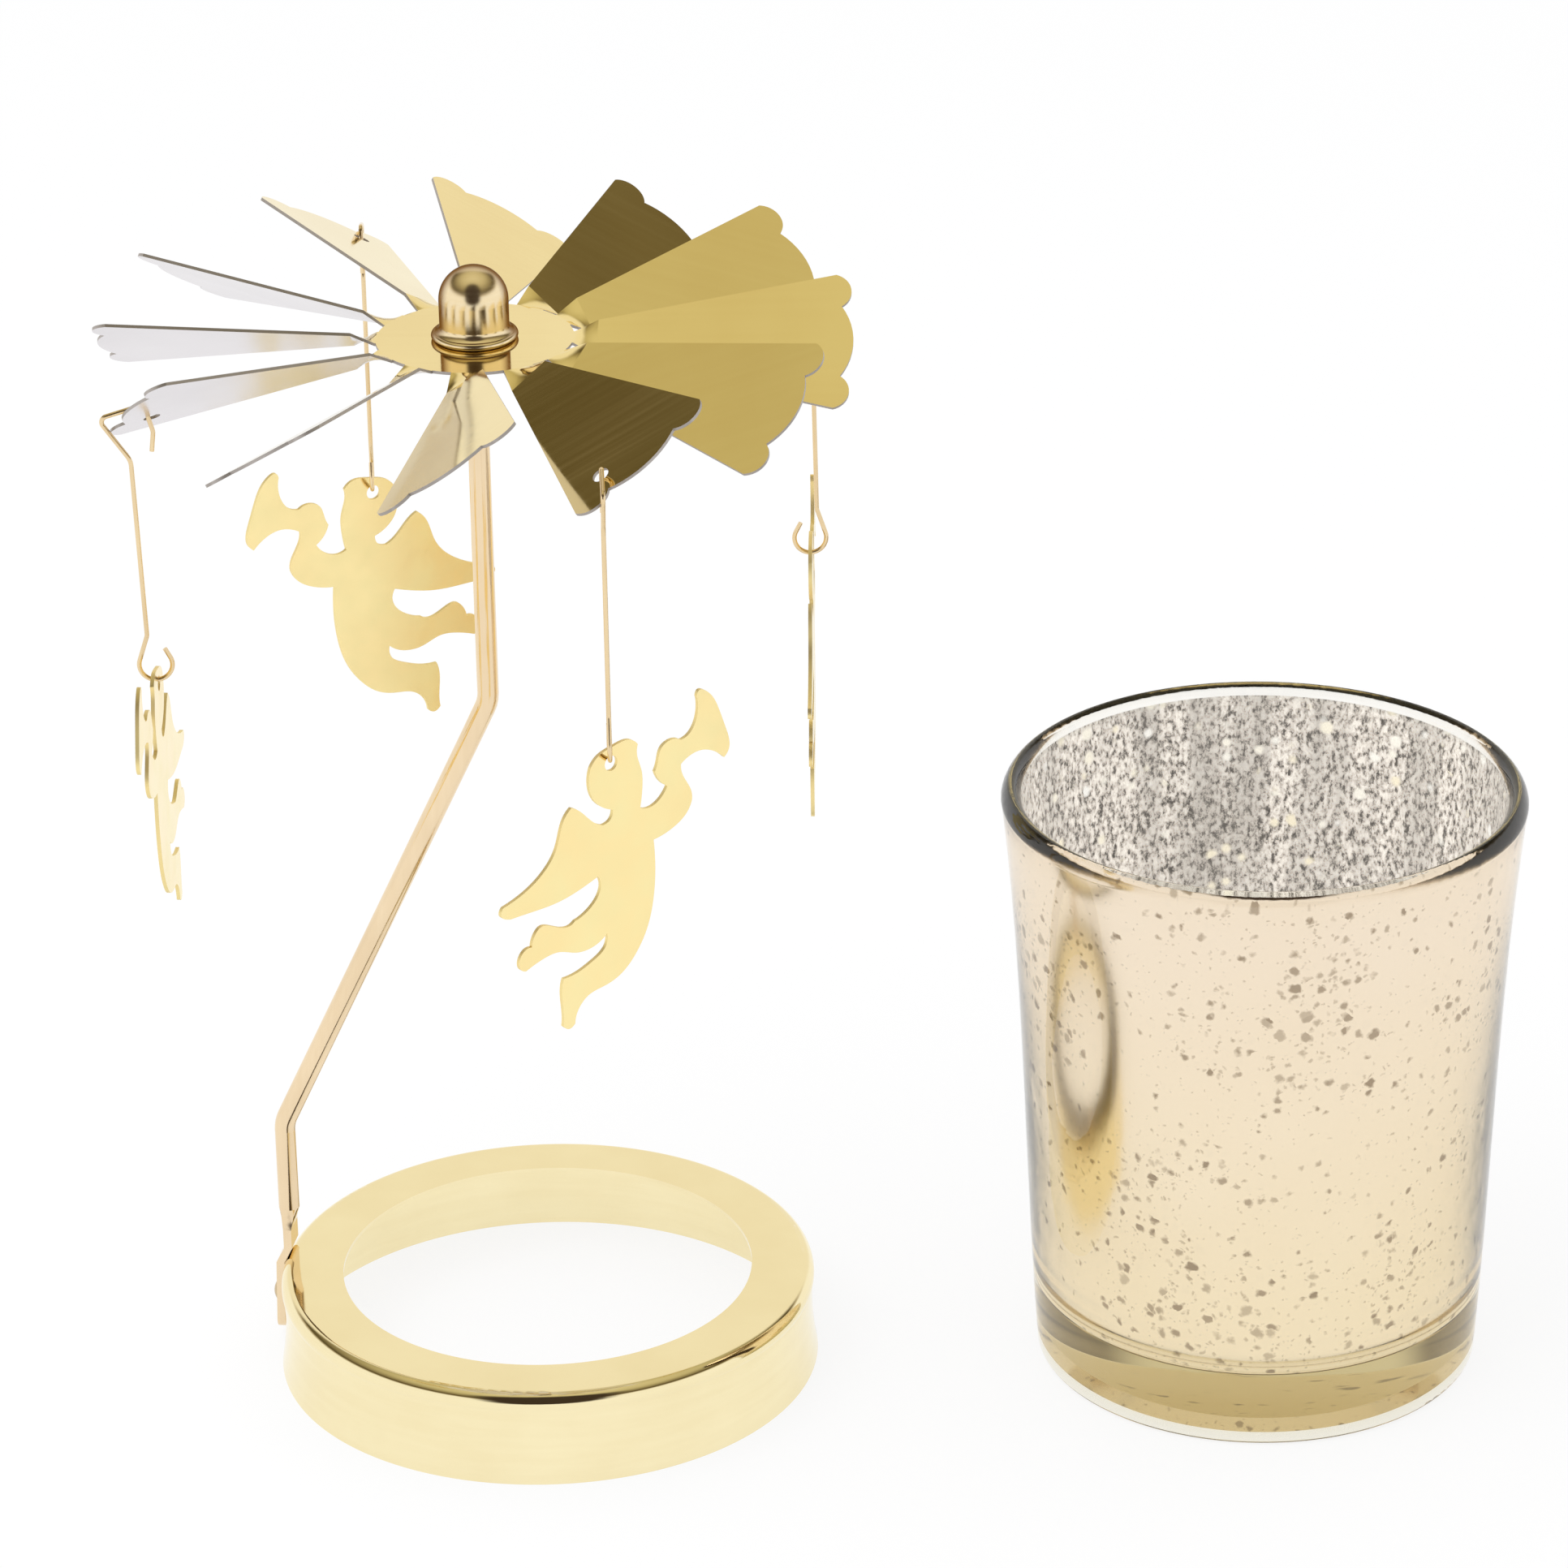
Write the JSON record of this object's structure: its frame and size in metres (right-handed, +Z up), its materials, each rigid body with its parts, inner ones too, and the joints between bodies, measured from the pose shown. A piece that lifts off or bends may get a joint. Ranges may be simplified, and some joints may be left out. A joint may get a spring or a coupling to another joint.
{
  "type": "angel chime carousel",
  "caption": "Gold-coloured ring stand with a bent post, a turning fan of twisted blades, angels hung below it on wire hooks, and a tapered glass cup for a candle.",
  "frame": {"origin": "centre of the base ring's lower edge, on the table", "axes": "+Z up; +X from the ring towards the glass cup beside it; -Y towards the viewer"},
  "size_m": [0.1835, 0.103, 0.1558],
  "materials": {
    "ring_sheet": "polished",
    "post_rod": "drawn, polished",
    "fittings": "polished",
    "cap_turned": "turned, mirror polished",
    "fan_sheet": "mirror polished",
    "hanger_wire": "drawn, bright",
    "angel_sheet": "flat, polished",
    "needle_steel": "hardened, ground point",
    "glass": "clear pressed glass, mirror coat inside"
  },
  "bodies": {
    "stand": {"base_ring": "ring_sheet", "post": "post_rod", "foot_rivet": "fittings", "pivot_needle": "needle_steel"},
    "carousel": {"fan": "fan_sheet", "pivot_cap": "cap_turned", "bearing_cup": "fittings", "hub_washer": "fittings"},
    "cup": {"glass_cup": "glass"},
    "hanger_front": {"hanger_front": "hanger_wire"},
    "angel_front": {"angel_front": "angel_sheet"},
    "hanger_left": {"hanger_left": "hanger_wire"},
    "angel_left": {"angel_left": "angel_sheet"},
    "hanger_back": {"hanger_back": "hanger_wire"},
    "angel_back": {"angel_back": "angel_sheet"},
    "hanger_right": {"hanger_right": "hanger_wire"},
    "angel_right": {"angel_right": "angel_sheet"}
  },
  "joints": [
    {"name": "carousel_spin", "type": "hinge", "parent": "stand", "child": "carousel", "pos_m": [-0.00523, 0.00083, 0.1515], "axis": [0, 0, 1], "continuous": true},
    {"name": "hanger_swing_front", "type": "hinge", "parent": "carousel", "child": "hanger_front", "pos_m": [0.01149, -0.03953, 0.14289], "axis": [-0.9989, -0.0477, 0], "range_deg": [-6, 8]},
    {"name": "angel_swing_front", "type": "hinge", "parent": "hanger_front", "child": "angel_front", "pos_m": [0.01153, -0.04033, 0.10579], "axis": [0.6392, -0.769, 0], "range_deg": [-25, 25]},
    {"name": "hanger_swing_left", "type": "hinge", "parent": "carousel", "child": "hanger_left", "pos_m": [-0.04555, -0.01598, 0.14276], "axis": [-0.0498, 0.9988, 0], "range_deg": [-6, 8]},
    {"name": "angel_swing_left", "type": "hinge", "parent": "hanger_left", "child": "angel_left", "pos_m": [-0.04635, -0.01602, 0.10696], "axis": [-0.9985, 0.0549, 0], "range_deg": [-25, 25]},
    {"name": "hanger_swing_back", "type": "hinge", "parent": "carousel", "child": "hanger_back", "pos_m": [-0.02183, 0.0414, 0.14526], "axis": [0.9991, 0.0431, 0], "range_deg": [-6, 8]},
    {"name": "angel_swing_back", "type": "hinge", "parent": "hanger_back", "child": "angel_back", "pos_m": [-0.02186, 0.0422, 0.10926], "axis": [-0.4844, 0.8749, 0], "range_deg": [-25, 25]},
    {"name": "hanger_swing_right", "type": "hinge", "parent": "carousel", "child": "hanger_right", "pos_m": [0.03521, 0.01765, 0.14437], "axis": [0.049, -0.9988, 0], "range_deg": [-6, 8]},
    {"name": "angel_swing_right", "type": "hinge", "parent": "hanger_right", "child": "angel_right", "pos_m": [0.03701, 0.01774, 0.10897], "axis": [0.9996, -0.0295, 0], "range_deg": [-25, 25]},
    {"name": "glass_lift", "type": "slide", "parent": "stand", "child": "cup", "axis": [0, 0, 1], "range_m": [0, 0.06]}
  ]
}
